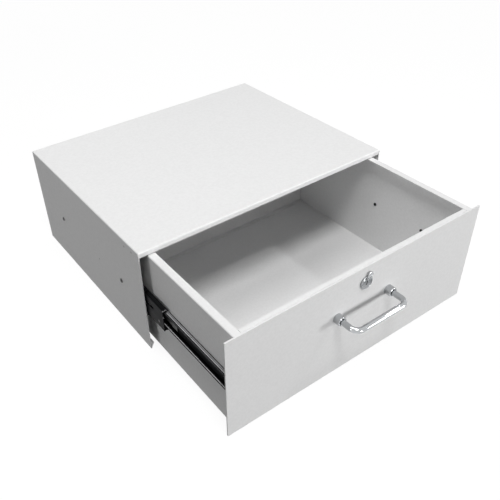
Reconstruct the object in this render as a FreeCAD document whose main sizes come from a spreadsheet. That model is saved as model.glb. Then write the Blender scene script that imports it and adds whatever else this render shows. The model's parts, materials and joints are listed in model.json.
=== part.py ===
import FreeCAD, Part
import itertools
import math
import os
import Sketcher

# Sliding rack drawer: a folded housing, a drawer box on two ball-bearing slides and a flat
# front panel with a bow handle and a cam lock.
# Millimetres. X runs along the front panel, Y back into the rack, Z up. The origin lies on the
# surface that the housing stands on, under the middle of everything with the drawer drawn out.

doc = FreeCAD.newDocument("sliding_rack_drawer")
sheet = doc.addObject("Spreadsheet::Sheet", "sizes")

SIZES = {
    # housing
    "housing_width": 445.0,
    "housing_depth": 355.0,
    "housing_height": 174.0,
    "sheet_gauge": 1.2,
    "bend_radius": 0.8,
    "lip_drop": 7.5,
    "foot_flange": 10.0,
    "foot_hole_radius": 2.5,
    "foot_hole_front": 60.0,
    "foot_hole_pitch": 235.0,
    "back_tab": 11.0,
    "tab_margin": 14.0,
    "tab_height": 34.0,
    # drawer box and front panel
    "opening": 188.0,
    "panel_bottom": 0.5,
    "panel_gap": 1.0,
    "panel_gauge": 2.0,
    "drawer_bottom": 2.5,
    "drawer_rear_gap": 3.0,
    "rim_width": 11.0,
    "front_rim": 6.8,
    "seam_gap": 0.4,
    "panel_corner": 0.8,
    "wall_foot": 9.0,
    "stud_radius": 2.0,
    "stud_inset": 42.0,
    "stud_margin": 30.0,
    "stud_play": 0.3,
    "nut_height": 3.2,
    "nut_across": 7.0,
    "thread_play": 0.02,
    # ball-bearing slides
    "slide_rise": 1.5,
    "slide_gauge": 1.2,
    "slide_depth": 12.7,
    "slide_front": 2.0,
    "slide_rear": 3.0,
    "end_gap": 2.0,
    "bumper_length": 3.5,
    "bumper_gap": 0.5,
    "inner_edge": 5.3,
    "slot_start": 25.0,
    "slot_length": 18.0,
    "slot_level": 5.0,
    "slot_height": 4.4,
    "middle_out": 47.0,
    "ball_radius": 2.0,
    "ball_play": 0.05,
    "outer_row": 4.9,
    "outer_row_level": 19.6,
    "inner_row": 8.8,
    "inner_row_level": 13.6,
    "race_depth": 0.9,
    "cage_gauge": 0.5,
    "cage_gap": 0.2,
    "cage_length": 120.0,
    "pocket_play": 0.1,
    "outer_cage_start": 85.0,
    "inner_cage_start": 35.75,
    "slide_screw_radius": 2.1,
    "screw_play": 0.1,
    "screw_head_radius": 3.6,
    "screw_head_height": 1.7,
    "outer_screw_first": 65.0,
    "outer_screw_pitch": 200.0,
    "inner_screw_first": 71.5,
    "inner_screw_pitch": 96.0,
    "inner_screw_rear": 40.0,
    # release levers
    "lever_pivot": 161.0,
    "lever_reach": 42.0,
    "lever_gauge": 2.4,
    "lever_hub": 4.0,
    "pivot_radius": 1.5,
    "pivot_play": 0.05,
    # handle
    "handle_drop": 36.0,
    "handle_pitch": 93.0,
    "handle_reach": 39.0,
    "handle_radius": 4.2,
    "handle_bend": 11.0,
    "ferrule_radius": 7.2,
    "ferrule_length": 10.5,
    "ferrule_play": 0.05,
    "handle_screw_radius": 2.0,
    "handle_screw_depth": 8.0,
    # lock
    "lock_drop": 26.0,
    "bezel_radius": 10.5,
    "bezel_height": 2.2,
    "bezel_edge": 1.0,
    "barrel_radius": 9.0,
    "barrel_length": 15.0,
    "plug_radius": 6.0,
    "plug_play": 0.05,
    "plug_sink": 0.3,
    "plug_overhang": 1.2,
    "keyway_width": 1.6,
    "keyway_height": 7.0,
    "keyway_depth": 6.0,
    "tail_square": 6.0,
    "lock_nut_across": 22.0,
    "lock_nut_height": 4.0,
    "cam_reach": 32.0,
    "cam_gauge": 2.0,
    "cam_hub": 8.0,
    "cam_tip": 5.0,
    "cam_screw_radius": 2.0,
    "cam_screw_depth": 8.0,
    "cover_pin": 7.0,
    "cover_reach": 6.3,
    "cover_radius": 4.6,
    "cover_gauge": 1.0,
    "cover_tilt": 50.0,
    "cover_ear": 2.4,
    "cover_gap": 0.3,
    "cover_rivet": 1.2,
    "strike_width": 40.0,
    "strike_face": 13.2,
}
for row, (alias, value) in enumerate(SIZES.items(), start=1):
    sheet.set(f"A{row}", alias)
    sheet.set(f"B{row}", str(value))
    sheet.setAlias(f"B{row}", alias)
doc.recompute()


# A Size carries a number together with the sheet formula that gives it, so that a length can be
# worked out once and then bound to the sheet.
class Size:
    def __init__(self, value, formula):
        self.value = value
        self.formula = formula

    def __float__(self):
        return float(self.value)

    def __neg__(self):
        return Size(-self.value, f"(-{self.formula})")

    def __add__(self, other):
        return Size(self.value + float(other), f"({self.formula} + {formula_of(other)})")

    def __radd__(self, other):
        return Size(float(other) + self.value, f"({formula_of(other)} + {self.formula})")

    def __sub__(self, other):
        return Size(self.value - float(other), f"({self.formula} - {formula_of(other)})")

    def __rsub__(self, other):
        return Size(float(other) - self.value, f"({formula_of(other)} - {self.formula})")

    def __mul__(self, other):
        return Size(self.value * float(other), f"({self.formula} * {formula_of(other)})")

    def __rmul__(self, other):
        return self * other

    def __truediv__(self, other):
        return Size(self.value / float(other), f"({self.formula} / {formula_of(other)})")


def formula_of(number):
    return number.formula if isinstance(number, Size) else repr(float(number))


def size(alias):
    return Size(float(sheet.get(alias)), f"sizes.{alias}")


# half the width of a circle of this radius at a height above its centre
def half_chord(radius, height):
    square = radius * radius - height * height
    return Size(math.sqrt(float(square)), f"sqrt({formula_of(square)})")


def bind(thing, name, value):
    if isinstance(value, Size):
        thing.setExpression(name, value.formula)


def vector(x, y, z):
    return FreeCAD.Vector(float(x), float(y), float(z))


def place(thing, x=0.0, y=0.0, z=0.0, rotation=FreeCAD.Rotation()):
    thing.Placement = FreeCAD.Placement(vector(x, y, z), rotation)
    for axis, value in (("x", x), ("y", y), ("z", z)):
        bind(thing, f"Placement.Base.{axis}", value)


# ---- sketches and features -------------------------------------------------------------------

def new_body(label):
    body = doc.addObject("PartDesign::Body", label)
    body.Label = label
    return body


# A sketch on one of the body's own planes, raised along that plane's normal.
def new_sketch(body, name, plane, rise=0.0):
    sketch = body.newObject("Sketcher::SketchObject", f"{body.Label}_{name}")
    planes = [feature for feature in body.Origin.OriginFeatures if feature.Role == plane]
    sketch.AttachmentSupport = [(planes[0], "")]
    sketch.MapMode = "FlatFace"
    sketch.AttachmentOffset = FreeCAD.Placement(vector(0, 0, rise), FreeCAD.Rotation())
    bind(sketch, "AttachmentOffset.Base.z", rise)
    return sketch


# fixes a sketch point's distance from the origin along one axis
def fix(sketch, kind, geometry, point, value):
    index = sketch.addConstraint(Sketcher.Constraint(kind, -1, 1, geometry, point, float(value)))
    bind(sketch, f"Constraints[{index}]", value)


# Outline through corners. A corner is (x, y) where a straight edge ends, or (x, y, cx, cy, side)
# where an arc about (cx, cy) ends, side being 1 for an anticlockwise arc and -1 for a clockwise
# one. An open outline only starts at its first corner.
def draw_outline(sketch, corners, closed=True):
    first_edge = 0 if closed else 1
    edges = [None] * first_edge
    for index in range(first_edge, len(corners)):
        corner = corners[index]
        before = corners[index - 1]
        start = vector(before[0], before[1], 0)
        end = vector(corner[0], corner[1], 0)
        if len(corner) == 2:
            edges.append(sketch.addGeometry(Part.LineSegment(start, end)))
            continue
        centre = vector(corner[2], corner[3], 0)
        circle = Part.Circle(centre, vector(0, 0, 1), start.distanceToPoint(centre))
        first, last = [math.atan2(p.y - centre.y, p.x - centre.x) for p in (start, end)]
        if corner[4] < 0:
            first, last = last, first
        edges.append(sketch.addGeometry(Part.ArcOfCircle(circle, first, last)))
    # an arc always runs anticlockwise, so a clockwise one starts at its outline's end
    tips = [(2, 1) if len(corner) == 5 and corner[4] < 0 else (1, 2) for corner in corners]
    if not closed:
        fix(sketch, "DistanceX", edges[1], tips[1][0], corners[0][0])
        fix(sketch, "DistanceY", edges[1], tips[1][0], corners[0][1])
    for index in range(first_edge, len(corners)):
        corner = corners[index]
        after = (index + 1) % len(corners)
        if edges[after] is not None:
            sketch.addConstraint(Sketcher.Constraint("Coincident", edges[index], tips[index][1],
                                                     edges[after], tips[after][0]))
        fix(sketch, "DistanceX", edges[index], tips[index][1], corner[0])
        fix(sketch, "DistanceY", edges[index], tips[index][1], corner[1])
        if len(corner) == 5:
            before = corners[index - 1]
            level = abs(float(corner[0]) - float(before[0])) > abs(float(corner[1]) - float(before[1]))
            kind, value = ("DistanceY", corner[3]) if level else ("DistanceX", corner[2])
            fix(sketch, kind, edges[index], 3, value)


def draw_circles(sketch, circles):
    for x, y, radius in circles:
        edge = sketch.addGeometry(Part.Circle(vector(x, y, 0), vector(0, 0, 1), float(radius)))
        fix(sketch, "DistanceX", edge, 3, x)
        fix(sketch, "DistanceY", edge, 3, y)
        index = sketch.addConstraint(Sketcher.Constraint("Radius", edge, float(radius)))
        bind(sketch, f"Constraints[{index}]", radius)


def pad(body, sketch, length, reverse=False, middle=False):
    feature = body.newObject("PartDesign::Pad", f"{sketch.Name}_pad")
    feature.Profile = sketch
    feature.Length = float(length)
    bind(feature, "Length", length)
    feature.Reversed = reverse
    feature.Midplane = middle
    return feature


# Cuts both ways from the sketch: right through, or to a depth on each side.
def cut(body, sketch, depth=None):
    feature = body.newObject("PartDesign::Pocket", f"{sketch.Name}_cut")
    feature.Profile = sketch
    feature.Midplane = True
    if depth is None:
        feature.Type = "ThroughAll"
    else:
        feature.Length = float(depth * 2)
        bind(feature, "Length", depth * 2)
    return feature


def drill(body, name, plane, circles, depth=None, rise=0.0):
    sketch = new_sketch(body, name, plane, rise)
    draw_circles(sketch, circles)
    return cut(body, sketch, depth)


def cut_outline(body, name, plane, corners, depth=None, rise=0.0):
    sketch = new_sketch(body, name, plane, rise)
    draw_outline(sketch, corners)
    return cut(body, sketch, depth)


def rectangle(left, low, right, high):
    return [(left, low), (right, low), (right, high), (left, high)]


def polygon(x, y, radius, sides):
    turns = [math.tau * (step + 0.5) / sides for step in range(sides)]
    return [(x + radius * round(math.cos(turn), 9), y + radius * round(math.sin(turn), 9))
            for turn in turns]


# Some round pieces and holes are many-sided, which keeps the model light.
screw_sides = 8
pocket_sides = 6
bar_sides = 12
lock_sides = 24


def draw_small(sketch, spots, sides=screw_sides):
    for x, y, radius in spots:
        draw_outline(sketch, polygon(x, y, radius, sides))


def drill_small(body, name, plane, spots, depth=None, rise=0.0, sides=screw_sides):
    sketch = new_sketch(body, name, plane, rise)
    draw_small(sketch, spots, sides)
    return cut(body, sketch, depth)


def revolve(body, sketch, axis):
    feature = body.newObject("PartDesign::Revolution", f"{sketch.Name}_turned")
    feature.Profile = sketch
    feature.ReferenceAxis = (sketch, [axis])
    feature.Angle = 360.0
    return feature


# Rounds the long edges of a bent strip: each spot is (place across the strip, radius).
def round_edges(body, base, name, axis, spots, radius):
    doc.recompute()
    others = [other for other in range(3) if other != axis]
    names = []
    for number, edge in enumerate(base.Shape.Edges, start=1):
        ends = [vertex.Point for vertex in edge.Vertexes]
        if len(ends) != 2:
            continue
        run = ends[1] - ends[0]
        if abs(run[others[0]]) > 1e-4 or abs(run[others[1]]) > 1e-4:
            continue
        for spot in spots:
            gaps = [abs(ends[0][other] - float(value)) for other, value in zip(others, spot)]
            if max(gaps) < 1e-3:
                names.append(f"Edge{number}")
    feature = body.newObject("PartDesign::Fillet", f"{body.Label}_{name}")
    feature.Base = (base, names)
    feature.Radius = float(radius)
    bind(feature, "Radius", radius)
    return feature


# Bent sheet: the path gives its outer face as right-angled turns, and the sheet lies on the side
# that turn gives, 1 for left of the path and -1 for right. Returns the closed outline, the outer
# corners and the inner corners.
def bent_outline(path, gauge, turn):
    steps = []
    for start, end in zip(path, path[1:]):
        run = (float(end[0]) - float(start[0]), float(end[1]) - float(start[1]))
        length = math.hypot(*run)
        steps.append((round(run[0] / length), round(run[1] / length)))
    normals = [(-turn * step[1], turn * step[0]) for step in steps]
    back = []
    for index, (x, y) in enumerate(path):
        around = normals[max(index - 1, 0):index + 1]
        shift_x = sum(normal[0] for normal in around)
        shift_y = sum(normal[1] for normal in around)
        back.append((x + gauge * shift_x if shift_x else x, y + gauge * shift_y if shift_y else y))
    tight = []
    wide = []
    for index in range(1, len(path) - 1):
        (a, b), (c, d) = steps[index - 1], steps[index]
        toward_sheet = (a * d - b * c) * turn > 0
        wide.append(path[index] if toward_sheet else back[index])
        tight.append(back[index] if toward_sheet else path[index])
    return path + back[::-1], wide, tight


def bent_sheet(label, plane, path, turn, length, gauge, reverse=False, middle=False):
    body = new_body(label)
    outline, wide, tight = bent_outline(path, gauge, turn)
    sketch = new_sketch(body, "profile", plane)
    draw_outline(sketch, outline)
    solid = pad(body, sketch, length, reverse, middle)
    axis = 1 if plane == "XZ_Plane" else 0
    bend = size("bend_radius")
    solid = round_edges(body, solid, "outer_bends", axis, wide, bend + gauge)
    round_edges(body, solid, "inner_bends", axis, tight, bend)
    return body


def mirrored(label, source):
    copy = doc.addObject("Part::Mirroring", label)
    copy.Label = label
    copy.Source = source
    copy.Normal = (1, 0, 0)
    copy.Base = (0, 0, 0)
    return copy


# Several copies of one pattern piece, as separate solids of one node.
def copies(label, pattern, places):
    doc.recompute()
    group = doc.addObject("Part::Feature", label)
    group.Label = label
    solids = [pattern.Shape.copy() for _ in places]
    for solid, spot in zip(solids, places):
        solid.translate(vector(*spot))
    group.Shape = Part.makeCompound(solids)
    return group


parts = []


def keep(*pieces):
    parts.extend(pieces)


# ---- shared lengths ----------------------------------------------------------------------------

gauge = size("sheet_gauge")
bend = size("bend_radius")
half_width = size("housing_width") / 2
height = size("housing_height")
depth = size("housing_depth")
opening = size("opening")
panel_gauge = size("panel_gauge")

# The housing's front edge, set so that the origin is midway between the handle and the back.
front = (opening + panel_gauge + size("handle_reach") - depth) / 2
panel_rear = front - opening

slide_depth = size("slide_depth")
drawer_half = half_width - gauge - slide_depth
drawer_top = height - size("lip_drop") - size("panel_gap")
drawer_bottom = size("drawer_bottom")
drawer_depth = depth - size("drawer_rear_gap")
floor_top = drawer_bottom + gauge
slide_level = (drawer_bottom + drawer_top) / 2 + size("slide_rise")
slide_length = depth - size("slide_front") - size("slide_rear")
inner_length = slide_length - size("end_gap") * 2
outer_screws = [size("slide_front") + size("outer_screw_first") + size("outer_screw_pitch") * step
                for step in range(2)]
inner_screws = [size("end_gap") + size("inner_screw_first") + size("inner_screw_pitch") * step
                for step in range(2)]
inner_screws.append(size("end_gap") + inner_length - size("inner_screw_rear"))
handle_half = size("handle_pitch") / 2
bar_edge = size("handle_radius") / math.cos(math.pi / bar_sides)
lock_level = drawer_top - size("lock_drop")
handle_level = lock_level - size("handle_drop")
screw_hole = size("slide_screw_radius") + size("screw_play")
lock_hole = (size("barrel_radius") + size("screw_play")) / math.cos(math.pi / lock_sides)
handle_hole = size("handle_screw_radius") + size("screw_play")
stud_half = half_width - size("stud_inset")
stud_spots = [(side * stud_half, level) for side in (-1, 1)
              for level in (drawer_bottom + size("stud_margin"), drawer_top - size("stud_margin"))]


# ---- housing -----------------------------------------------------------------------------------

# One sheet folded over the top and down both sides, with inward feet and a turned-down front lip.
def housing_shell():
    body = new_body("housing_shell")
    foot = size("foot_flange")
    path = [(foot - half_width, 0.0), (-half_width, 0.0), (-half_width, height),
            (half_width, height), (half_width, 0.0), (half_width - foot, 0.0)]
    outline, wide, tight = bent_outline(path, gauge, -1)
    sketch = new_sketch(body, "profile", "XZ_Plane")
    draw_outline(sketch, outline)
    pad(body, sketch, depth, reverse=True)
    lip = new_sketch(body, "lip", "XZ_Plane")
    draw_outline(lip, rectangle(-half_width, height - size("lip_drop"), half_width, height))
    solid = pad(body, lip, gauge, reverse=True)
    solid = round_edges(body, solid, "outer_bends", 1, wide, bend + gauge)
    round_edges(body, solid, "inner_bends", 1, tight, bend)
    turn = bend + gauge
    cut_outline(body, "front_bend", "YZ_Plane", [
        (0.0, height), (0.0, height - turn), (turn, height, turn, height - turn, -1)])
    mitre = foot - gauge
    for side, name in ((-1, "left_mitre"), (1, "right_mitre")):
        inner = side * (half_width - foot)
        corner = side * (half_width - gauge)
        cut_outline(body, name, "XY_Plane", [(corner, 0.0), (inner, mitre), (inner, 0.0)], gauge * 2)
    drill_small(body, "slide_holes", "YZ_Plane", [(spot, slide_level, screw_hole) for spot in outer_screws])
    foot_middle = half_width - gauge - (foot - gauge) / 2
    spots = [size("foot_hole_front") + size("foot_hole_pitch") * step for step in range(2)]
    circles = [(side * foot_middle, spot, size("foot_hole_radius")) for side in (-1, 1) for spot in spots]
    drill(body, "foot_holes", "XY_Plane", circles, gauge * 2)
    place(body, y=front)
    return body


# Plate that closes the back, welded by its top flange and four side tabs.
def back_panel():
    tab = size("back_tab")
    tall = size("tab_height")
    top = height - gauge
    path = [(depth - tab, top), (depth, top), (depth, gauge)]
    half = half_width - gauge
    body = bent_sheet("back_panel", "YZ_Plane", path, -1, (half - bend) * 2, gauge, middle=True)
    for side, side_name in ((-1, "left"), (1, "right")):
        for low, name in ((size("tab_margin"), "low"), (height - size("tab_margin") - tall, "high")):
            sketch = new_sketch(body, f"{side_name}_{name}_tab", "XZ_Plane", -depth)
            edges = sorted([side * half, side * (half - gauge)], key=float)
            draw_outline(sketch, rectangle(edges[0], low, edges[1], low + tall))
            pad(body, sketch, tab)
    place(body, y=front)
    return body


# Angle under the top sheet that the cam of the lock rises behind.
def lock_strike():
    top = height - gauge
    face = size("strike_face")
    path = [(gauge, top), (face, top), (face, height - size("lip_drop"))]
    body = bent_sheet("lock_strike", "YZ_Plane", path, -1, size("strike_width"), gauge, middle=True)
    place(body, y=front)
    return body


# ---- drawer box --------------------------------------------------------------------------------

def drawer_tray():
    rim = drawer_half - size("rim_width")
    path = [(-rim, drawer_top), (-drawer_half, drawer_top), (-drawer_half, drawer_bottom),
            (drawer_half, drawer_bottom), (drawer_half, drawer_top), (rim, drawer_top)]
    body = bent_sheet("drawer_tray", "XZ_Plane", path, 1, drawer_depth, gauge, reverse=True)
    drill_small(body, "slide_holes", "YZ_Plane", [(spot, slide_level, screw_hole) for spot in inner_screws])
    place(body, y=panel_rear)
    return body


# End wall of the box: foot flange on the floor, upright plate, and top flange between the rims.
def end_wall(label, face, inward, flange):
    path = [(face + size("wall_foot") * inward, floor_top), (face, floor_top),
            (face, drawer_top), (face + flange * inward, drawer_top)]
    half = drawer_half - gauge - bend
    body = bent_sheet(label, "YZ_Plane", path, -inward, half * 2, gauge, middle=True)
    rim = drawer_half - size("rim_width") - size("seam_gap")
    low = drawer_top - gauge - bend
    for side, name in ((-1, "left_notch"), (1, "right_notch")):
        edges = sorted([side * rim, side * drawer_half], key=float)
        cut_outline(body, name, "XZ_Plane", rectangle(edges[0], low, edges[1], drawer_top + gauge))
    place(body, y=panel_rear)
    return body


def drawer_front_wall():
    body = end_wall("drawer_front_wall", 0.0, 1, size("front_rim"))
    drill_small(body, "lock_hole", "XZ_Plane", [(0.0, lock_level, lock_hole)], sides=lock_sides)
    spots = [(side * handle_half, handle_level, handle_hole) for side in (-1, 1)]
    spots += [(x, z, size("stud_radius") + size("stud_play")) for x, z in stud_spots]
    drill_small(body, "screw_holes", "XZ_Plane", spots)
    return body


# Flat plate as wide as the housing, with weld studs on its back.
def front_panel():
    body = new_body("front_panel")
    low = size("panel_bottom")
    sketch = new_sketch(body, "plate", "XZ_Plane")
    draw_outline(sketch, rectangle(-half_width, low, half_width, drawer_top))
    pad(body, sketch, panel_gauge)
    studs = new_sketch(body, "studs", "XZ_Plane")
    draw_small(studs, [(x, z, size("stud_radius")) for x, z in stud_spots])
    solid = pad(body, studs, gauge + size("nut_height") * 1.3, reverse=True)
    solid = round_edges(body, solid, "corners", 1,
                        [(side * half_width, level) for side in (-1, 1) for level in (low, drawer_top)],
                        size("panel_corner"))
    drill_small(body, "lock_hole", "XZ_Plane", [(0.0, lock_level, lock_hole)], sides=lock_sides)
    spots = [(side * handle_half, handle_level, handle_hole) for side in (-1, 1)]
    drill_small(body, "screw_holes", "XZ_Plane", spots)
    place(body, y=panel_rear)
    return body


def hex_blank(label, across_flats, thickness):
    body = new_body(label)
    sketch = new_sketch(body, "hexagon", "XZ_Plane")
    draw_outline(sketch, polygon(0.0, 0.0, across_flats / math.sqrt(3), 6))
    pad(body, sketch, thickness, reverse=True)
    return body


def panel_nuts():
    pattern = hex_blank("panel_nut_pattern", size("nut_across"), size("nut_height"))
    bore = size("stud_radius") + size("thread_play")
    drill_small(pattern, "thread", "XZ_Plane", [(0.0, 0.0, bore)])
    return copies("panel_nuts", pattern, [(x, panel_rear + gauge, z) for x, z in stud_spots])


# Pan-head screw along Y: the head's seat is at 0, with the head behind it and the shank in front,
# or the other way round where turn is -1.
def screw(label, head_radius, head_height, shank_radius, shank_length, turn=1):
    body = new_body(label)
    shank = new_sketch(body, "shank", "XZ_Plane")
    draw_small(shank, [(0.0, 0.0, shank_radius)])
    pad(body, shank, shank_length, reverse=turn < 0)
    head = new_sketch(body, "head", "XZ_Plane")
    draw_small(head, [(0.0, 0.0, head_radius)])
    pad(body, head, head_height, reverse=turn > 0)
    return body


# ---- ball-bearing slides -----------------------------------------------------------------------
# Across a slide, u runs from the housing's wall to the drawer's, and v up from the slide's middle.
# The left slide is modelled and the right one mirrored.

slide_wall = gauge - half_width
strip = size("slide_gauge")
race = size("ball_radius") + size("ball_play")
race_back = race + strip
row_u, row_v = size("outer_row"), size("outer_row_level")
inner_u, inner_v = size("inner_row"), size("inner_row_level")
outer_flat = row_v + race_back - size("race_depth")
middle_flat = row_v - race + size("race_depth")
inner_flat = inner_v - race + size("race_depth")
middle_web = strip + size("cage_gap") * 2 + size("cage_gauge")
middle_front = size("slide_front") + size("end_gap") - size("middle_out")
middle_length = slide_length - size("end_gap") - size("bumper_length") - size("bumper_gap")
slide_screw_head = [size("screw_head_radius"), size("screw_head_height"), size("slide_screw_radius")]


# The lower half of a section mirrors its upper half.
def whole_section(upper):
    lower = []
    for index in reversed(range(len(upper))):
        corner = (upper[index][0], -upper[index][1])
        after = upper[index + 1] if index + 1 < len(upper) else ()
        if len(after) == 5:
            corner += (after[2], -after[3], after[4])
        lower.append(corner)
    return upper + lower


def slide_member(label, upper, length, start, corners):
    body = new_body(label)
    sketch = new_sketch(body, "section", "XZ_Plane")
    draw_outline(sketch, whole_section(upper))
    solid = pad(body, sketch, length, reverse=True)
    spots = [(x, side * y) for x, y in corners for side in (-1, 1)]
    round_edges(body, solid, "bends", 1, spots, bend)
    place(body, slide_wall, front + start, slide_level)
    return body


def outer_member():
    back = half_chord(race_back, outer_flat - row_v)
    inside = outer_flat - strip
    groove = half_chord(race, inside - row_v)
    edge = row_u + race_back
    upper = [(0.0, outer_flat), (row_u - back, outer_flat),
             (row_u + back, outer_flat, row_u, row_v, -1),
             (edge, outer_flat), (edge, inside), (row_u + groove, inside),
             (row_u - groove, inside, row_u, row_v, 1), (strip, inside)]
    body = slide_member("left_outer_slide_member", upper, slide_length, size("slide_front"),
                        [(0.0, outer_flat)])
    spots = [spot - size("slide_front") for spot in outer_screws]
    drill_small(body, "screw_holes", "YZ_Plane", [(spot, 0.0, screw_hole) for spot in spots])
    return body


# Its outer balls run in grooves on top of the flanges, its inner balls under their turned-down edges.
def middle_member():
    groove = half_chord(race, row_v - middle_flat)
    ridge = row_u + race + 0.35
    tip = size("race_depth") + 1.4
    inner_tip = tip * race / race_back
    heel = size("race_depth")
    heel_u = inner_u - half_chord(race, heel)
    under = row_v - race - strip
    upper = [(middle_web, middle_flat), (row_u - groove, middle_flat),
             (row_u + groove, middle_flat, row_u, row_v, 1), (ridge, middle_flat),
             (inner_u, inner_v + race_back),
             (inner_u + half_chord(race_back, tip), inner_v + tip, inner_u, inner_v, -1),
             (inner_u + half_chord(race, inner_tip), inner_v + inner_tip),
             (heel_u, inner_v + heel, inner_u, inner_v, 1),
             (heel_u - strip, inner_v + heel), (heel_u - strip, under), (middle_web + strip, under)]
    body = slide_member("left_middle_slide_member", upper, middle_length, middle_front,
                        [(middle_web, middle_flat)])
    low = size("slot_level") - size("slot_height") / 2
    slot = rectangle(size("slot_start"), low, size("slot_start") + size("slot_length"),
                     low + size("slot_height"))
    cut_outline(body, "slot", "YZ_Plane", slot)
    return body


def inner_member():
    groove = half_chord(race, inner_v - inner_flat)
    inside = inner_flat - strip
    back = half_chord(race_back, inner_v - inside)
    edge = size("inner_edge")
    web = slide_depth - strip
    upper = [(web, inside), (inner_u + back, inside),
             (inner_u - back, inside, inner_u, inner_v, -1), (edge, inside), (edge, inner_flat),
             (inner_u - groove, inner_flat), (inner_u + groove, inner_flat, inner_u, inner_v, 1),
             (slide_depth, inner_flat)]
    start = size("end_gap") - opening
    body = slide_member("left_inner_slide_member", upper, inner_length, start,
                        [(slide_depth, inner_flat)])
    spots = [(spot - size("end_gap"), 0.0, screw_hole) for spot in inner_screws]
    spots.append((size("lever_pivot"), 0.0, size("pivot_radius")))
    drill_small(body, "screw_holes", "YZ_Plane", spots)
    return body


def ball_spots():
    count = 4
    pitch = size("cage_length") / count
    return [pitch * (step + 0.5) for step in range(count)]


# Channel of thin strip with a pocket for each ball.
def ball_cage(label, web, row_across, row_level, start):
    thin = size("cage_gauge")
    arm = row_across + size("ball_radius") + 0.2
    level = row_level + thin / 2
    body = new_body(label)
    sketch = new_sketch(body, "section", "XZ_Plane")
    path = [(arm, level), (web, level), (web, -level), (arm, -level)]
    draw_outline(sketch, bent_outline(path, thin, 1)[0])
    pad(body, sketch, size("cage_length"), reverse=True)
    pockets = new_sketch(body, "pockets", "XY_Plane")
    reach = (size("ball_radius") + size("pocket_play")) / math.cos(math.pi / pocket_sides)
    draw_small(pockets, [(row_across, spot, reach) for spot in ball_spots()], pocket_sides)
    cut(body, pockets)
    place(body, slide_wall, front + start, slide_level)
    return body


# A ball is a rhombicuboctahedron, so that it has few faces: its corners, at (1, 1, 1 + root 2) and
# the like, lie on the sphere, and its flats face the axes, edges and corners of a cube.
def faceted_ball(radius):
    slab = 4 * radius
    far = 1 + math.sqrt(2)
    unit = radius / math.sqrt(2 + far * far)
    ball = None
    for direction in itertools.product((0, 1), (-1, 0, 1), (-1, 0, 1)):
        steps = sum(abs(step) for step in direction)
        if direction < (0, 0, 1) or direction[:2] == (0, -1):
            continue
        flat = unit * ((2 + far) / math.sqrt(3) if steps == 3 else far)
        layer = Part.makeBox(slab, slab, 2 * flat, vector(-slab / 2, -slab / 2, -flat))
        turn = FreeCAD.Rotation(vector(0, 0, 1), vector(*direction))
        layer.Placement = FreeCAD.Placement(vector(0, 0, 0), turn)
        ball = layer if ball is None else ball.common(layer)
    return ball


def ball_rows(label, row_across, row_level, start):
    pattern = faceted_ball(float(size("ball_radius")))
    balls = []
    for side in (-1, 1):
        for spot in ball_spots():
            ball = pattern.copy()
            ball.translate(vector(slide_wall + row_across, front + start + spot,
                                  slide_level + side * row_level))
            balls.append(ball)
    group = doc.addObject("Part::Feature", label)
    group.Label = label
    group.Shape = Part.makeCompound(balls)
    return group


def rear_bumper():
    body = new_body("left_rear_bumper")
    sketch = new_sketch(body, "block", "XZ_Plane")
    high = middle_flat - strip
    draw_outline(sketch, rectangle(strip, -high, size("inner_edge") + 2.0, high))
    pad(body, sketch, size("bumper_length"))
    place(body, slide_wall, front + size("slide_front") + slide_length, slide_level)
    return body


# Plastic arm in the inner member's channel that is pressed to free the drawer.
def release_lever():
    body = new_body("left_release_lever")
    reach = size("lever_reach")
    hub = size("lever_hub")
    sketch = new_sketch(body, "arm", "YZ_Plane")
    waist = hub * 0.5
    pad_start = reach * 0.7
    draw_outline(sketch, [
        (-pad_start, waist), (-pad_start, hub), (-reach, hub), (-reach, -hub), (-pad_start, -hub),
        (-pad_start, -waist), (0.0, -hub), (0.0, hub, 0.0, 0.0, 1)])
    pad(body, sketch, size("lever_gauge"), reverse=True)
    drill(body, "bore", "YZ_Plane", [(0.0, 0.0, size("pivot_radius") + size("pivot_play"))])
    face = slide_depth - strip - size("cage_gap")
    place(body, slide_wall + face, panel_rear + size("end_gap") + size("lever_pivot"), slide_level)
    return body


# Rivet through the inner member's web, with its head over the lever.
def lever_pivot():
    body = new_body("left_lever_pivot")
    radius = size("pivot_radius")
    shank = strip + size("cage_gap") * 2 + size("lever_gauge")
    pin = new_sketch(body, "pin", "YZ_Plane")
    draw_small(pin, [(0.0, 0.0, radius)])
    pad(body, pin, shank, reverse=True)
    head = new_sketch(body, "head", "YZ_Plane", -shank)
    draw_small(head, [(0.0, 0.0, radius * 1.8)])
    pad(body, head, radius * 0.6, reverse=True)
    place(body, slide_wall + slide_depth, panel_rear + size("end_gap") + size("lever_pivot"), slide_level)
    return body


def slide_screws(label, seat_x, spots, turn):
    pattern = screw(f"{label}_pattern", *slide_screw_head, gauge + strip, turn)
    doc.recompute()
    group = doc.addObject("Part::Feature", label)
    group.Label = label
    solids = []
    for spot in spots:
        solid = pattern.Shape.copy()
        solid.rotate(vector(0, 0, 0), vector(0, 0, 1), -90)
        solid.translate(vector(seat_x, spot, slide_level))
        solids.append(solid)
    group.Shape = Part.makeCompound(solids)
    return group


# ---- handle ------------------------------------------------------------------------------------

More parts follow.
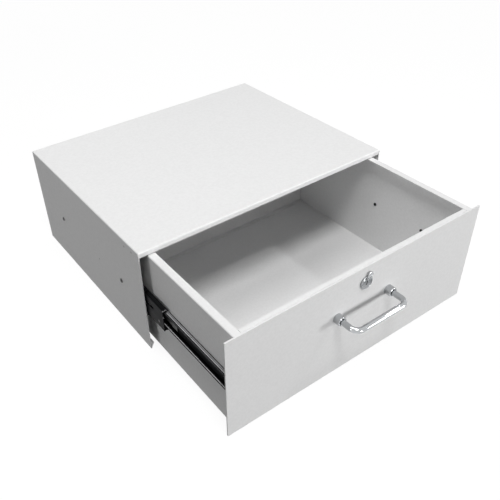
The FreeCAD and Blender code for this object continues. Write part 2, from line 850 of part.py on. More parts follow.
# Round bar bent to a bow, with its ends on the panel's face and a tapped hole in each.
def handle_bar():
    body = new_body("handle_bar")
    corner = size("handle_bend")
    reach = size("handle_reach") - size("handle_radius")
    half = handle_half
    spine = new_sketch(body, "spine", "XY_Plane")
    draw_outline(spine, [
        (-half, 0.0), (-half, corner - reach),
        (corner - half, -reach, corner - half, corner - reach, 1), (half - corner, -reach),
        (half, corner - reach, half - corner, corner - reach, 1), (half, 0.0)], closed=False)
    ring = new_sketch(body, "ring", "XZ_Plane")
    draw_small(ring, [(-half, 0.0, bar_edge)], bar_sides)
    pipe = body.newObject("PartDesign::AdditivePipe", "handle_bar_pipe")
    pipe.Profile = ring
    pipe.Spine = spine
    spots = [(side * half, 0.0, size("handle_screw_radius")) for side in (-1, 1)]
    drill_small(body, "tapped_holes", "XZ_Plane", spots, size("ferrule_length"))
    place(body, y=panel_rear - panel_gauge, z=handle_level)
    return body


def handle_ferrule():
    body = new_body("left_handle_ferrule")
    sketch = new_sketch(body, "profile", "XY_Plane")
    bore = bar_edge + size("ferrule_play")
    rim = size("ferrule_radius")
    length = size("ferrule_length")
    draw_outline(sketch, [(bore, 0.0), (bore, -length), (rim, -length), (rim, 0.0)])
    revolve(body, sketch, "V_Axis")
    place(body, -handle_half, panel_rear - panel_gauge, handle_level)
    return body


def handle_screws():
    pattern = screw("handle_screw_pattern", size("screw_head_radius"), size("screw_head_height"),
                    size("handle_screw_radius") - size("thread_play"),
                    gauge + panel_gauge + size("handle_screw_depth"))
    spots = [(side * handle_half, panel_rear + gauge, handle_level) for side in (-1, 1)]
    return copies("handle_screws", pattern, spots)


# ---- lock --------------------------------------------------------------------------------------

def lock_housing():
    body = new_body("lock_housing")
    sketch = new_sketch(body, "profile", "XY_Plane")
    bore = size("plug_radius") + size("plug_play")
    rim = size("bezel_radius")
    edge = size("bezel_edge")
    face = -panel_gauge - size("bezel_height")
    barrel = size("barrel_radius")
    end = size("barrel_length") - panel_gauge
    draw_outline(sketch, [(bore, face), (rim - edge, face), (rim, face + edge), (rim, -panel_gauge),
                          (barrel, -panel_gauge), (barrel, end), (bore, end)])
    revolve(body, sketch, "V_Axis")
    place(body, y=panel_rear, z=lock_level)
    return body


def lock_nut():
    body = hex_blank("lock_nut", size("lock_nut_across"), size("lock_nut_height"))
    bore = (size("barrel_radius") + size("thread_play")) / math.cos(math.pi / lock_sides)
    drill_small(body, "thread", "XZ_Plane", [(0.0, 0.0, bore)], sides=lock_sides)
    place(body, y=panel_rear + gauge, z=lock_level)
    return body


# Turning cylinder with a keyway in front and a square tail behind, which carries the cam.
def lock_plug():
    body = new_body("lock_plug")
    sketch = new_sketch(body, "profile", "XY_Plane")
    radius = size("plug_radius")
    face = size("plug_sink") - panel_gauge - size("bezel_height")
    shoulder = size("barrel_length") - panel_gauge + size("plug_overhang")
    draw_outline(sketch, [(0.0, face), (radius, face), (radius, shoulder), (0.0, shoulder)])
    revolve(body, sketch, "V_Axis")
    tail = new_sketch(body, "tail", "XZ_Plane", -shoulder)
    square = size("tail_square") / 2
    draw_outline(tail, rectangle(-square, -square, square, square))
    pad(body, tail, size("cam_gauge"), reverse=True)
    slot = size("keyway_width") / 2
    tall = size("keyway_height") / 2
    cut_outline(body, "keyway", "XZ_Plane", rectangle(-slot, -tall, slot, tall), size("keyway_depth"), -face)
    end = shoulder + size("cam_gauge")
    deep = size("cam_screw_depth") * 1.1
    drill_small(body, "screw_hole", "XZ_Plane", [(0.0, 0.0, size("cam_screw_radius"))], deep, -end)
    place(body, y=panel_rear, z=lock_level)
    return body


def lock_cam():
    body = new_body("lock_cam")
    sketch = new_sketch(body, "blade", "XZ_Plane")
    hub = size("cam_hub")
    tip = size("cam_tip")
    reach = size("cam_reach") - tip
    draw_outline(sketch, [(reach, -tip), (reach, tip, reach, 0.0, 1), (0.0, hub),
                          (0.0, -hub, 0.0, 0.0, 1)])
    pad(body, sketch, size("cam_gauge"), reverse=True)
    square = size("tail_square") / 2 + size("plug_play")
    cut_outline(body, "square_hole", "XZ_Plane", rectangle(-square, -square, square, square))
    shoulder = size("barrel_length") - panel_gauge + size("plug_overhang")
    place(body, y=panel_rear + shoulder, z=lock_level)
    return body


def cam_screw():
    body = screw("cam_screw", size("cam_hub") * 0.6, size("screw_head_height"),
                 size("cam_screw_radius") - size("thread_play"), size("cam_screw_depth"))
    end = size("barrel_length") - panel_gauge + size("plug_overhang") + size("cam_gauge")
    place(body, y=panel_rear + end, z=lock_level)
    return body


# Drop-shaped cover that hangs over the keyway and is swung aside here.
def dust_cover():
    body = new_body("dust_cover")
    sketch = new_sketch(body, "plate", "XZ_Plane")
    ear = size("cover_ear")
    disc = size("cover_radius")
    away = size("cover_reach")
    neck = disc * 0.36
    chord = half_chord(disc, neck)
    draw_outline(sketch, [(away - neck, -chord), (away - neck, chord, away, 0.0, 1), (0.0, ear),
                          (0.0, -ear, 0.0, 0.0, 1)])
    pad(body, sketch, size("cover_gauge"))
    drill(body, "bore", "XZ_Plane", [(0.0, 0.0, size("cover_rivet") + size("pivot_play"))])
    tilt = FreeCAD.Rotation(FreeCAD.Vector(0, -1, 0), float(size("cover_tilt")))
    ahead = panel_gauge + size("bezel_height") + size("cover_gap")
    place(body, 0.0, panel_rear - ahead, lock_level + size("cover_pin"), tilt)
    return body


def cover_rivet():
    radius = size("cover_rivet")
    shank = size("cover_gap") * 2 + size("cover_gauge")
    body = screw("cover_rivet", radius * 1.7, radius * 0.7, radius, shank, -1)
    ahead = panel_gauge + size("bezel_height") + shank
    place(body, 0.0, panel_rear - ahead, lock_level + size("cover_pin"))
    return body


# ---- assembly ----------------------------------------------------------------------------------

keep(housing_shell(), back_panel(), lock_strike())
keep(drawer_tray(), drawer_front_wall(), front_panel(), panel_nuts())
keep(end_wall("drawer_back_wall", drawer_depth, -1, size("front_rim")))
keep(handle_bar(), handle_screws(), lock_housing(), lock_nut(), lock_plug(), lock_cam(), cam_screw())
keep(dust_cover(), cover_rivet())

inner_start = middle_front + size("inner_cage_start")
left_pieces = [
    outer_member(),
    middle_member(),
    inner_member(),
    ball_cage("left_outer_ball_cage", strip + size("cage_gap"), row_u, row_v, size("outer_cage_start")),
    ball_rows("left_outer_slide_balls", row_u, row_v, size("outer_cage_start")),
    ball_cage("left_inner_ball_cage", middle_web + strip + size("cage_gap"), inner_u, inner_v, inner_start),
    ball_rows("left_inner_slide_balls", inner_u, inner_v, inner_start),
    rear_bumper(),
    release_lever(),
    lever_pivot(),
    handle_ferrule(),
    slide_screws("left_outer_slide_screws", -half_width, [front + spot for spot in outer_screws], -1),
    slide_screws("left_inner_slide_screws", -(drawer_half - gauge),
                 [panel_rear + spot for spot in inner_screws], 1),
]
doc.recompute()
for piece in left_pieces:
    keep(piece, mirrored(piece.Label.replace("left_", "right_"), piece))
doc.recompute()

faults = [thing.Label for thing in doc.Objects
          if "Invalid" in thing.State or "Error" in thing.State]
faults += [piece.Label for piece in parts if piece.Shape.isNull() or not piece.Shape.isValid()]
faults += [thing.Label for thing in doc.Objects if thing.TypeId == "PartDesign::Pocket"
           and thing.BaseFeature.Shape.Volume - thing.Shape.Volume < 0.01]
if faults:
    raise RuntimeError("these objects failed: " + ", ".join(faults))

os.makedirs("parts", exist_ok=True)
for piece in parts:
    piece.Shape.exportStep(f"parts/{piece.Label}.step")
print(f"{len(parts)} nodes written")
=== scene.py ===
import bmesh
import bpy
import json
import math
import numpy as np
from mathutils import Matrix, Vector


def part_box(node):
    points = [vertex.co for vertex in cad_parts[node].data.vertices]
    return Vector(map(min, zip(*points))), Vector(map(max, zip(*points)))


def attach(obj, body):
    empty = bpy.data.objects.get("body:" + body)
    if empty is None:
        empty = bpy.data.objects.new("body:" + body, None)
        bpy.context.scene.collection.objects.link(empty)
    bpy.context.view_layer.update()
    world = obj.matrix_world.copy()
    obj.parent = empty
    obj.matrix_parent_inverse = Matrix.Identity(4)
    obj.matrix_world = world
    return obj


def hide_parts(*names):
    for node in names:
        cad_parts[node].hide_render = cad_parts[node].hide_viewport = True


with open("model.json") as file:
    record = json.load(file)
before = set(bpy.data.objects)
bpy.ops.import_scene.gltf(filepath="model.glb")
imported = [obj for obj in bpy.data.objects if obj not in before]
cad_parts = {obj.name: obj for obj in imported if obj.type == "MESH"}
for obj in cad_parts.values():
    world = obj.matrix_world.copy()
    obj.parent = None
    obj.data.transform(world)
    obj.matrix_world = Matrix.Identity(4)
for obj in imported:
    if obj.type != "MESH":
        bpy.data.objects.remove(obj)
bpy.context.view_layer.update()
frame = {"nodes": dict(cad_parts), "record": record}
nodes = frame["nodes"]
scene = bpy.context.scene
mm = 0.001
print("frame loaded:", len(nodes), "nodes")


def nodeBox(node):  # lowest and highest corner of a node, in mm
    low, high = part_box(node)
    return np.array(low) / mm, np.array(high) / mm


def colourOf(hexText):  # sRGB hex to the linear colour that a shader wants
    channels = [int(hexText[i:i + 2], 16) / 255 for i in (0, 2, 4)]
    linear = [c / 12.92 if c <= 0.04045 else ((c + 0.055) / 1.055) ** 2.4 for c in channels]
    return (*linear, 1.0)


def addNode(tree, kind, settings=None, inputs=None, outputs=None):
    # settings go on the node itself; an input is a value or another node's socket; an output is linked
    # to the socket given for it
    node = tree.nodes.new(kind)
    for name, value in (settings or {}).items():
        setattr(node, name, value)
    for name, value in (inputs or {}).items():
        if isinstance(value, bpy.types.NodeSocket):
            tree.links.new(value, node.inputs[name])
        else:
            node.inputs[name].default_value = value
    for name, socket in (outputs or {}).items():
        tree.links.new(node.outputs[name], socket)
    return node


viewpoint = {
    "azimuth": -33.815,  # degrees round from the front, towards the left
    "elevation": 37.642,
    "roll": -2.551,
    "place": (-492.99, -651.68, 662.00),  # mm
    "lens": 44.973,
    "sensor": 36,
    "shift": (0.0647, 0.0083),
    "clip": (0.05, 20),  # m
}


def makeCamera():
    azimuth, elevation, roll = [math.radians(viewpoint[k]) for k in ("azimuth", "elevation", "roll")]
    back = Vector((math.sin(azimuth) * math.cos(elevation), -math.cos(azimuth) * math.cos(elevation),
                   math.sin(elevation)))
    right = (-back).cross(Vector((0, 0, 1))).normalized()
    up = back.cross(right)
    rightRolled = right * math.cos(roll) + up * math.sin(roll)
    upRolled = up * math.cos(roll) - right * math.sin(roll)
    data = bpy.data.cameras.new("camera")
    data.sensor_width = viewpoint["sensor"]
    data.lens = viewpoint["lens"]
    data.shift_x, data.shift_y = viewpoint["shift"]
    data.clip_start, data.clip_end = viewpoint["clip"]
    camera = bpy.data.objects.new("camera", data)
    turn = Matrix((rightRolled, upRolled, back)).transposed()
    camera.matrix_world = Matrix.Translation(Vector(viewpoint["place"]) * mm) @ turn.to_4x4()
    scene.collection.objects.link(camera)
    scene.camera = camera


# lamps: direction from the object to the lamp, distance in m, disc's diameter in m, and the light that
# the lamp gives a surface facing it, where 1 shows a colour about as it is written
studio = {
    "skyLight": 0.01,
    "floorColour": "5A5A5A",
    "floorGlow": 0.92,
    "floorHalf": 6.0,  # m
    "fade": (0.9, 2.4),  # m from the object, between which the floor's glow rises to full white
    "lampMiddle": (0, -0.05, 0.09),  # m, the point that the lamps face
    "lamps": {
        "keySoftbox": ((-0.18, -0.34, 1.0), 2.6, 0.70, 0.47),
        "overheadSoftbox": ((0.0, 0.20, 1.0), 2.6, 1.60, 0.41),
        "rightLamp": ((0.84, -0.50, 1.0), 2.6, 0.12, 0.12),
        "frontRightLamp": ((0.62, -0.80, 0.08), 4.2, 1.00, 0.34),
        "frontLamp": ((0.0, -1.0, 0.07), 4.2, 1.00, 0.29),
        "leftFill": ((-1.0, 0.10, 0.26), 2.6, 1.20, 0.17),
        "backFill": ((0.25, 1.0, 0.06), 4.0, 1.40, 0.22),
    },
}


def makeLamp(name, toward, distance, across, strength):
    # irradiance = power / (pi * distance^2), and a white surface shows 1 under an irradiance of pi
    data = bpy.data.lights.new(name, "AREA")
    data.shape = "DISK"
    data.size = across
    data.energy = strength * math.pi ** 2 * distance ** 2
    lamp = bpy.data.objects.new(name, data)
    middle = Vector(studio["lampMiddle"])
    lamp.location = middle + Vector(toward).normalized() * distance
    lamp.rotation_euler = (middle - lamp.location).to_track_quat("-Z", "Y").to_euler()
    scene.collection.objects.link(lamp)


def seenDirectly(tree):
    # 1 for camera, glossy and transmission rays, so that what they show can be plain white
    path = addNode(tree, "ShaderNodeLightPath")
    first = addNode(tree, "ShaderNodeMath", {"operation": "MAXIMUM"},
                    {0: path.outputs["Is Camera Ray"], 1: path.outputs["Is Glossy Ray"]})
    return addNode(tree, "ShaderNodeMath", {"operation": "MAXIMUM"},
                   {0: first.outputs[0], 1: path.outputs["Is Transmission Ray"]}).outputs[0]


def makeWorld():
    world = bpy.data.worlds.new("studio")
    world.use_nodes = True
    scene.world = world
    tree = world.node_tree
    background = tree.nodes["Background"]
    background.inputs["Color"].default_value = (1, 1, 1, 1)
    addNode(tree, "ShaderNodeMath", {"operation": "MAXIMUM"},
            {0: seenDirectly(tree), 1: studio["skyLight"]}, {0: background.inputs["Strength"]})


def makeFloor():
    # a matt sheet that glows for what sees it directly: lit it is white, and the object's shadow stays;
    # further out its glow rises to full white and its paper darkens, so that no edge shows
    half = studio["floorHalf"]
    corners = [(-half, -half, 0), (half, -half, 0), (half, half, 0), (-half, half, 0)]
    mesh = bpy.data.meshes.new("studioFloor")
    mesh.from_pydata(corners, [], [(0, 1, 2, 3)])
    floor = bpy.data.objects.new("studioFloor", mesh)
    scene.collection.objects.link(floor)
    material = bpy.data.materials.new("pale studio paper")
    material.use_nodes = True
    tree = material.node_tree
    tree.nodes.remove(tree.nodes["Principled BSDF"])
    place = addNode(tree, "ShaderNodeTexCoord").outputs["Object"]
    away = addNode(tree, "ShaderNodeVectorMath", {"operation": "LENGTH"}, {0: place}).outputs["Value"]
    near, far = studio["fade"]
    rise = addNode(tree, "ShaderNodeMapRange", None, {
        "Value": away, "From Min": near, "From Max": far, "To Min": studio["floorGlow"], "To Max": 1.0})
    strength = addNode(tree, "ShaderNodeMath", {"operation": "MULTIPLY"},
                       {0: seenDirectly(tree), 1: rise.outputs[0]})
    glow = addNode(tree, "ShaderNodeEmission", None,
                   {"Color": (1, 1, 1, 1), "Strength": strength.outputs[0]})
    fade = addNode(tree, "ShaderNodeMapRange", None, {"Value": away, "From Min": near, "From Max": far})
    tone = addNode(tree, "ShaderNodeMix", {"data_type": "RGBA"},
                   {0: fade.outputs[0], 6: colourOf(studio["floorColour"]), 7: colourOf("000000")})
    paper = addNode(tree, "ShaderNodeBsdfDiffuse", None, {"Color": tone.outputs[2]})
    addNode(tree, "ShaderNodeAddShader", None, {0: paper.outputs[0], 1: glow.outputs[0]},
            {0: tree.nodes["Material Output"].inputs["Surface"]})
    mesh.materials.append(material)


makeCamera()
makeWorld()
makeFloor()
for name, lamp in studio["lamps"].items():
    makeLamp(name, *lamp)
print("camera, floor and lamps set")

# in the finishes below, a pattern's size and depth are in mm, and a pair of colours or of roughness is
# what the pattern swings between
usual = {"From Min": 0.35, "From Max": 0.65}  # the range that a noise mostly stays in


def startMaterial(name, colour, roughness, metallic=0.0):
    # a plain start, which the patterns then swing around
    material = bpy.data.materials.new(name)
    material.use_nodes = True
    tree = material.node_tree
    shader = tree.nodes["Principled BSDF"]
    shader.inputs["Base Color"].default_value = colourOf(colour)
    shader.inputs["Roughness"].default_value = roughness
    shader.inputs["Metallic"].default_value = metallic
    place = addNode(tree, "ShaderNodeTexCoord").outputs["Object"]
    return material, tree, shader, place


powder = {
    "colours": ("E5E5E5", "E9E9E9"),
    "cloud": 4.0,
    "peel": 1.6,
    "peelDepth": 0.012,
    "roughness": (0.56, 0.66),
    "gloss": 0.35,
}


def powderCoat():
    # polyester powder baked on steel: an even light grey whose orange peel breaks highlights up softly;
    # real peel is about 0.8 mm across, and it is drawn at twice that because it would not show otherwise
    material, tree, shader, place = startMaterial("light grey powder coat", "E6E6E6", 0.6)
    shader.inputs["Specular IOR Level"].default_value = powder["gloss"]
    first, second = [colourOf(tone) for tone in powder["colours"]]
    smooth, rough = powder["roughness"]
    cloud = addNode(tree, "ShaderNodeTexNoise", None,
                    {"Vector": place, "Scale": 1 / (powder["cloud"] * mm), "Detail": 4.0})
    share = addNode(tree, "ShaderNodeMapRange", None, {"Value": cloud.outputs["Fac"], **usual})
    addNode(tree, "ShaderNodeMix", {"data_type": "RGBA"}, {0: share.outputs[0], 6: first, 7: second},
            {2: shader.inputs["Base Color"]})
    peel = addNode(tree, "ShaderNodeTexNoise", None,
                   {"Vector": place, "Scale": 1 / (powder["peel"] * mm), "Detail": 3.0})
    addNode(tree, "ShaderNodeMapRange", None,
            {"Value": peel.outputs["Fac"], **usual, "To Min": smooth, "To Max": rough},
            {0: shader.inputs["Roughness"]})
    addNode(tree, "ShaderNodeBump", None,
            {"Height": peel.outputs["Fac"], "Distance": powder["peelDepth"] * mm},
            {"Normal": shader.inputs["Normal"]})
    return material


marked = {
    "colours": ("B4B4B4", "CACACA"),
    "peel": 0.8,
    "peelDepth": 0.02,
    "gloss": 0.3,
}


def markedCoat():
    # the same powder over a spot weld, where it lies thinner, a shade darker and less glossy
    material, tree, shader, place = startMaterial("powder coat over a weld mark", "BEBEBE", 0.6)
    shader.inputs["Specular IOR Level"].default_value = marked["gloss"]
    first, second = [colourOf(tone) for tone in marked["colours"]]
    peel = addNode(tree, "ShaderNodeTexNoise", None,
                   {"Vector": place, "Scale": 1 / (marked["peel"] * mm), "Detail": 3.0})
    share = addNode(tree, "ShaderNodeMapRange", None, {"Value": peel.outputs["Fac"], **usual})
    addNode(tree, "ShaderNodeMix", {"data_type": "RGBA"}, {0: share.outputs[0], 6: first, 7: second},
            {2: shader.inputs["Base Color"]})
    addNode(tree, "ShaderNodeBump", None,
            {"Height": peel.outputs["Fac"], "Distance": marked["peelDepth"] * mm},
            {"Normal": shader.inputs["Normal"]})
    return material


# cold-rolled steel under a thin black electrocoat; its rolling lines are about 0.1 mm apart, and they are
# drawn 0.5 mm apart and 30 mm long, as fine as a line can be and still show
slideCoat = {
    "dark": "0C0C0D",
    "light": "1C1C1E",
    "line": 0.5,
    "lineLength": 30.0,
    "lineDepth": 0.01,
    "roughness": (0.36, 0.54),
    "gloss": 0.03,
}


def startSlide(name):
    # the coat that every slide member has: returns the colour with its rolling lines, for wear and
    # painted highlights to go over
    material, tree, shader, place = startMaterial(name, "101011", 0.45)
    shader.inputs["Specular IOR Level"].default_value = slideCoat["gloss"]
    smooth, rough = slideCoat["roughness"]
    across, along = 1 / (slideCoat["line"] * mm), 1 / (slideCoat["lineLength"] * mm)
    drawn = addNode(tree, "ShaderNodeMapping", None, {"Vector": place, "Scale": (across, along, across)})
    lines = addNode(tree, "ShaderNodeTexNoise", None,
                    {"Vector": drawn.outputs[0], "Scale": 1.0, "Detail": 2.0})
    share = addNode(tree, "ShaderNodeMapRange", None, {"Value": lines.outputs["Fac"], **usual})
    coat = addNode(tree, "ShaderNodeMix", {"data_type": "RGBA"},
                   {0: share.outputs[0], 6: colourOf(slideCoat["dark"]), 7: colourOf(slideCoat["light"])})
    addNode(tree, "ShaderNodeMapRange", None,
            {"Value": lines.outputs["Fac"], **usual, "To Min": smooth, "To Max": rough},
            {0: shader.inputs["Roughness"]})
    addNode(tree, "ShaderNodeBump", None,
            {"Height": lines.outputs["Fac"], "Distance": slideCoat["lineDepth"] * mm},
            {"Normal": shader.inputs["Normal"]})
    return material, tree, shader, place, coat.outputs[2]


def blackSlide():
    # nearly matt black with faint lines along it
    material, tree, shader, _, coat = startSlide("black electrocoated steel")
    tree.links.new(coat, shader.inputs["Base Color"])
    return material


# where a slide's inner member is drawn light, in mm out from the middle of the drawer: each band is
# first edge, last edge and sRGB grey; the two flanges have bands at different places. The bands are
# partly real wear of the races and mostly painted highlights, for lamp light on rounded race edges
rubbedAndLit = {
    "upper": ((209.9, 211.9, "8C8C8E"), (212.0, 213.2, "C9C9CB"), (215.0, 215.8, "4E4E50")),
    # the lower band is a painted highlight: it stands in for lamp light that the upper flange keeps off
    "lower": ((212.7, 215.1, "F2F2F4"),),
    "span": (208.0, 217.0),
    "soft": 0.17,  # half the width of a band's soft edge
    "flange": (10.7, 11.1),  # above or below the slide's middle, where the flanges start
    "patch": (9, 36, 9),  # across, along and upright
    "wearAndShine": (0.78, 1.0),
}


def wornAndLitSlide(level):
    # the same coat with thin light lines the length of the drawer along the ball races and rolled edges:
    # partly worn through to grey steel, mostly painted highlights; a band is a stretch of a colour ramp over
    # the distance out
    material, tree, shader, place, coat = startSlide("black slide with worn races and painted highlights")
    apart = addNode(tree, "ShaderNodeSeparateXYZ", None, {"Vector": place})
    out = addNode(tree, "ShaderNodeMath", {"operation": "ABSOLUTE"}, {0: apart.outputs["X"]})
    first, last = rubbedAndLit["span"]
    soft, dark = rubbedAndLit["soft"], slideCoat["dark"]
    spot = addNode(tree, "ShaderNodeMapRange", None,
                   {"Value": out.outputs[0], "From Min": first * mm, "From Max": last * mm})
    ramps = []
    for half in ("lower", "upper"):
        ramp = addNode(tree, "ShaderNodeValToRGB", None, {"Fac": spot.outputs[0]})
        stops = ramp.color_ramp.elements
        stops[0].color = stops[1].color = colourOf(dark)
        for start, end, grey in rubbedAndLit[half]:
            for edge, tone in ((start - soft, dark), (start + soft, grey),
                               (end - soft, grey), (end + soft, dark)):
                stops.new((edge - first) / (last - first)).color = colourOf(tone)
        ramps.append(ramp.outputs["Color"])
    above = addNode(tree, "ShaderNodeMath", {"operation": "SUBTRACT"}, {0: apart.outputs["Z"], 1: level * mm})
    isUpper = addNode(tree, "ShaderNodeMath", {"operation": "GREATER_THAN"}, {0: above.outputs[0], 1: 0.0})
    wornAndLitBands = addNode(tree, "ShaderNodeMix", {"data_type": "RGBA"},
                   {0: isUpper.outputs[0], 6: ramps[0], 7: ramps[1]})
    away = addNode(tree, "ShaderNodeMath", {"operation": "ABSOLUTE"}, {0: above.outputs[0]})
    starts, full = rubbedAndLit["flange"]
    flange = addNode(tree, "ShaderNodeMapRange", None,
                     {"Value": away.outputs[0], "From Min": starts * mm, "From Max": full * mm})
    # the bands, worn and painted light alike, fade a little in long patches, where balls rest or run
    stretched = addNode(tree, "ShaderNodeMapping", None,
                        {"Vector": place, "Scale": tuple(1 / (length * mm) for length in rubbedAndLit["patch"])})
    patches = addNode(tree, "ShaderNodeTexNoise", None,
                      {"Vector": stretched.outputs[0], "Scale": 1.0, "Detail": 3.0})
    faint, strong = rubbedAndLit["wearAndShine"]
    wearAndShine = addNode(tree, "ShaderNodeMapRange", None,
                   {"Value": patches.outputs["Fac"], **usual, "To Min": faint, "To Max": strong})
    strength = addNode(tree, "ShaderNodeMath", {"operation": "MULTIPLY"},
                       {0: flange.outputs[0], 1: wearAndShine.outputs[0]})
    # painted highlights, partly real wear: the light bands go straight into the base colour
    addNode(tree, "ShaderNodeMix", {"data_type": "RGBA"},
            {0: strength.outputs[0], 6: coat, 7: wornAndLitBands.outputs[2]}, {2: shader.inputs["Base Color"]})
    return material


bare = {
    "depth": 0.25,  # how far back from the sheared end it is bare
    "top": 16.6,  # above the slide's middle, where the bare top starts
    "knock": 6.6,  # the middle of the knocked spot
    "knockHalf": 1.8,
    "grey": "B4B4B6",
}


def rubbedEnd(front, level):
    # the middle member's front end: the same coat, but its sheared edge is bare where it has been knocked
    material, tree, shader, place, coat = startSlide("black slide with a bare sheared end")
    apart = addNode(tree, "ShaderNodeSeparateXYZ", None, {"Vector": place})
    isEnd = addNode(tree, "ShaderNodeMath", {"operation": "LESS_THAN"},
                    {0: apart.outputs["Y"], 1: (front + bare["depth"]) * mm})
    isTop = addNode(tree, "ShaderNodeMath", {"operation": "GREATER_THAN"},
                    {0: apart.outputs["Z"], 1: (level + bare["top"]) * mm})
    isKnocked = addNode(tree, "ShaderNodeMath", {"operation": "COMPARE"}, {
        0: apart.outputs["Z"], 1: (level + bare["knock"]) * mm, 2: bare["knockHalf"] * mm})
    either = addNode(tree, "ShaderNodeMath", {"operation": "MAXIMUM"},
                     {0: isTop.outputs[0], 1: isKnocked.outputs[0]})
    both = addNode(tree, "ShaderNodeMath", {"operation": "MULTIPLY"},
                   {0: isEnd.outputs[0], 1: either.outputs[0]})
    addNode(tree, "ShaderNodeMix", {"data_type": "RGBA"},
            {0: both.outputs[0], 6: coat, 7: colourOf(bare["grey"])}, {2: shader.inputs["Base Color"]})
    return material


zinc = {
    "colours": ("A6ABB0", "C6CACE"),
    "spangle": 2.2,
    "roughness": (0.22, 0.4),
    "grain": 0.4,
    "grainDepth": 0.006,
}


def zincPlate():
    # bright zinc over cold-headed or punched steel: cool grey with a faint cloudy spangle
    material, tree, shader, place = startMaterial("bright zinc plate", "B4B8BC", 0.3, 1.0)
    first, second = [colourOf(tone) for tone in zinc["colours"]]
    smooth, rough = zinc["roughness"]
    spangle = addNode(tree, "ShaderNodeTexNoise", None,
                      {"Vector": place, "Scale": 1 / (zinc["spangle"] * mm), "Detail": 3.0})
    share = addNode(tree, "ShaderNodeMapRange", None, {"Value": spangle.outputs["Fac"], **usual})
    addNode(tree, "ShaderNodeMix", {"data_type": "RGBA"}, {0: share.outputs[0], 6: first, 7: second},
            {2: shader.inputs["Base Color"]})
    addNode(tree, "ShaderNodeMapRange", None,
            {"Value": spangle.outputs["Fac"], **usual, "To Min": smooth, "To Max": rough},
            {0: shader.inputs["Roughness"]})
    grain = addNode(tree, "ShaderNodeTexNoise", None,
                    {"Vector": place, "Scale": 1 / (zinc["grain"] * mm), "Detail": 2.0})
    addNode(tree, "ShaderNodeBump", None,
            {"Height": grain.outputs["Fac"], "Distance": zinc["grainDepth"] * mm},
            {"Normal": shader.inputs["Normal"]})
    return material


chrome = {
    "hair": (5, 0.35, 0.35),  # along the grip, towards the panel and upright
    "hairDepth": 0.0012,
    "roughness": (0.02, 0.06),
}


def polishedChrome():
    # decorative chrome over nickel: a clear cool mirror with hairline wiping marks, which are a few
    # hundredths of a mm wide and drawn at 0.35 mm, coarse enough to soften a highlight's edge
    material, tree, shader, place = startMaterial("polished chrome plate", "B6B8BA", 0.05, 1.0)
    smooth, rough = chrome["roughness"]
    wiped = addNode(tree, "ShaderNodeMapping", None,
                    {"Vector": place, "Scale": tuple(1 / (length * mm) for length in chrome["hair"])})
    hairs = addNode(tree, "ShaderNodeTexNoise", None,
                    {"Vector": wiped.outputs[0], "Scale": 1.0, "Detail": 2.0})
    addNode(tree, "ShaderNodeMapRange", None,
            {"Value": hairs.outputs["Fac"], **usual, "To Min": smooth, "To Max": rough},
            {0: shader.inputs["Roughness"]})
    addNode(tree, "ShaderNodeBump", None,
            {"Height": hairs.outputs["Fac"], "Distance": chrome["hairDepth"] * mm},
            {"Normal": shader.inputs["Normal"]})
    return material


satin = {
    "colours": ("8E9092", "AAACAE"),
    "brush": (0.3, 0.3, 3),  # across, deep and along the lock's height
    "brushDepth": 0.002,
    "roughness": (0.14, 0.26),
}


def satinChrome():
    # chrome over a brushed die casting: the lock's softer, greyer shine, with brush lines along its height
    # that are about 0.05 mm wide and drawn at 0.3 mm so that they show
    material, tree, shader, place = startMaterial("satin chrome die casting", "9EA0A2", 0.24, 1.0)
    first, second = [colourOf(tone) for tone in satin["colours"]]
    smooth, rough = satin["roughness"]
    brushed = addNode(tree, "ShaderNodeMapping", None,
                      {"Vector": place, "Scale": tuple(1 / (length * mm) for length in satin["brush"])})
    brush = addNode(tree, "ShaderNodeTexNoise", None,
                    {"Vector": brushed.outputs[0], "Scale": 1.0, "Detail": 2.0})
    share = addNode(tree, "ShaderNodeMapRange", None, {"Value": brush.outputs["Fac"], **usual})
    addNode(tree, "ShaderNodeMix", {"data_type": "RGBA"}, {0: share.outputs[0], 6: first, 7: second},
            {2: shader.inputs["Base Color"]})
    addNode(tree, "ShaderNodeMapRange", None,
            {"Value": brush.outputs["Fac"], **usual, "To Min": smooth, "To Max": rough},
            {0: shader.inputs["Roughness"]})
    addNode(tree, "ShaderNodeBump", None,
            {"Height": brush.outputs["Fac"], "Distance": satin["brushDepth"] * mm},
            {"Normal": shader.inputs["Normal"]})
    return material


bearing = {
    "colours": ("BEBFBE", "D0D2D5"),
    "film": 1.0,
    "roughness": (0.08, 0.24),
}


def bearingSteel():
    # ground and lapped chrome steel under a film of grease, which dulls the mirror in patches
    material, tree, shader, place = startMaterial("lapped bearing steel", "CBCDD0", 0.12, 1.0)
    first, second = [colourOf(tone) for tone in bearing["colours"]]
    smooth, rough = bearing["roughness"]
    film = addNode(tree, "ShaderNodeTexNoise", None,
                   {"Vector": place, "Scale": 1 / (bearing["film"] * mm), "Detail": 2.0})
    addNode(tree, "ShaderNodeMapRange", None,
            {"Value": film.outputs["Fac"], **usual, "To Min": smooth, "To Max": rough},
            {0: shader.inputs["Roughness"]})
    share = addNode(tree, "ShaderNodeMapRange", None, {"Value": film.outputs["Fac"], **usual})
    addNode(tree, "ShaderNodeMix", {"data_type": "RGBA"}, {0: share.outputs[0], 6: first, 7: second},
            {2: shader.inputs["Base Color"]})
    return material


nylon = {
    "colours": ("141414", "202020"),
    "spark": 0.5,
    "sparkDepth": 0.02,
    "roughness": (0.42, 0.62),
}


